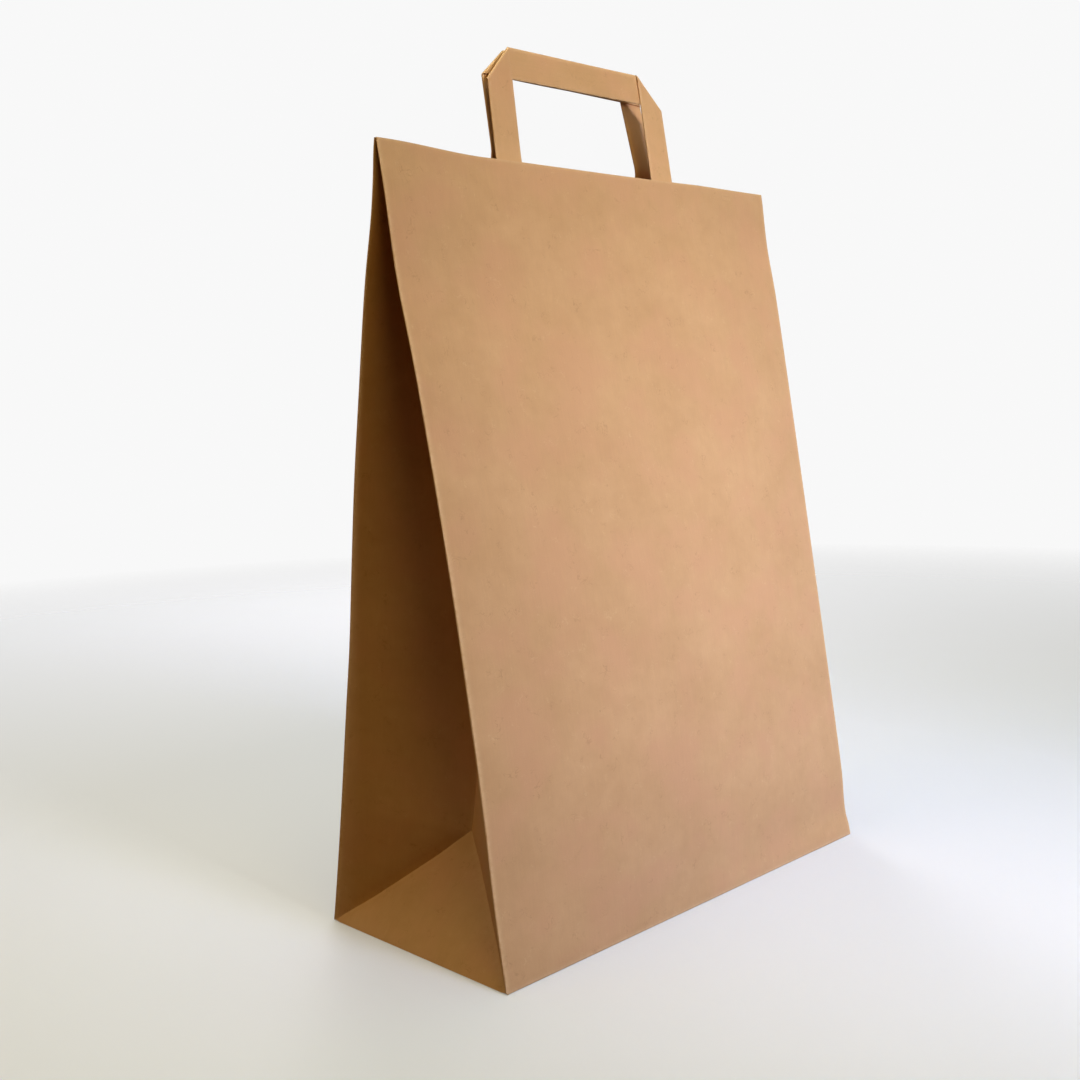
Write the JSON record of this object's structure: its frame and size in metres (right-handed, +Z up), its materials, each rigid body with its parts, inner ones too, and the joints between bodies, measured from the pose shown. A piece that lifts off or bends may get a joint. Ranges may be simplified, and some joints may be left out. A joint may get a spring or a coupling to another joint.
{
  "type": "paper carrier bag",
  "caption": "Standing block-bottom bag of brown kraft paper with tucked side gussets, a nearly closed mouth and flat folded paper handles, for carrying goods.",
  "frame": {"origin": "middle of the bottom, on the surface that the bag stands on", "axes": "+Z up towards the handles, -Y towards the front panel, +X to the right as seen from the front"},
  "size_m": [0.2604, 0.1192, 0.3965],
  "materials": {
    "kraft_sheet": "matte brown kraft paper with fine fibres",
    "folded_tape": "matte brown kraft paper in flat folded layers",
    "patch_paper": "matte brown kraft paper"
  },
  "bodies": {
    "root": {"bag_body": "kraft_sheet", "front_handle": "folded_tape", "back_handle": "folded_tape", "front_handle_patch": "patch_paper", "back_handle_patch": "patch_paper"}
  },
  "joints": []
}
